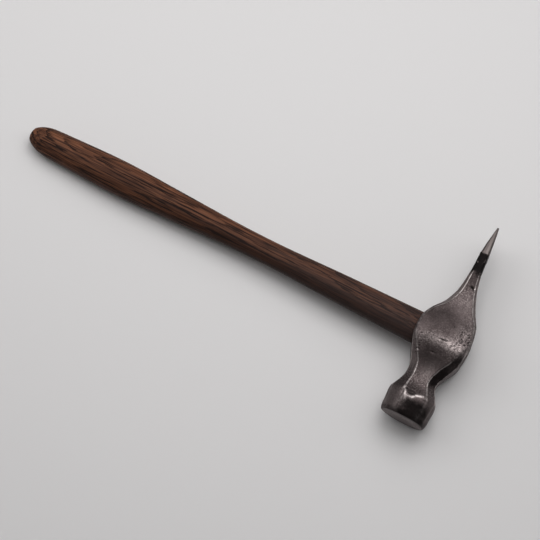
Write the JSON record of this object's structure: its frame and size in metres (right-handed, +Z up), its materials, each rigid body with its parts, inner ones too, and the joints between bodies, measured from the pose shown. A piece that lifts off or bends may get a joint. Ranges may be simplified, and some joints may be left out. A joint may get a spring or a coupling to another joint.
{
  "type": "cross peen hammer",
  "caption": "Blacksmith's cross peen hammer: forged head with octagonal poll, pinched neck, round cheeks and ground peen on a swelled oval wooden handle, for shaping and drawing out hot metal.",
  "frame": {"origin": "on the ground, under the middle of the hammer's bounding box as it lies on its cheek", "axes": "+X along the handle from the butt to the head, +Y along the head from the striking face to the peen, +Z up from the ground, across the head's cheeks"},
  "size_m": [0.3072, 0.1304, 0.0344],
  "materials": {
    "forged_steel": "hammer-forged and worn to a satin brown-grey, with dark scale by the peen and a freshly ground peen tip",
    "stained_wood": "dark brown stained and oiled coarse-grained hardwood, satin",
    "wedge_wood": "plain dry wood end, sawn off flush",
    "wedge_steel": "dark rough steel, peened over"
  },
  "bodies": {
    "root": {"head": "forged_steel", "handle": "stained_wood", "wood_wedge": "wedge_wood", "steel_wedge": "wedge_steel"}
  },
  "joints": []
}
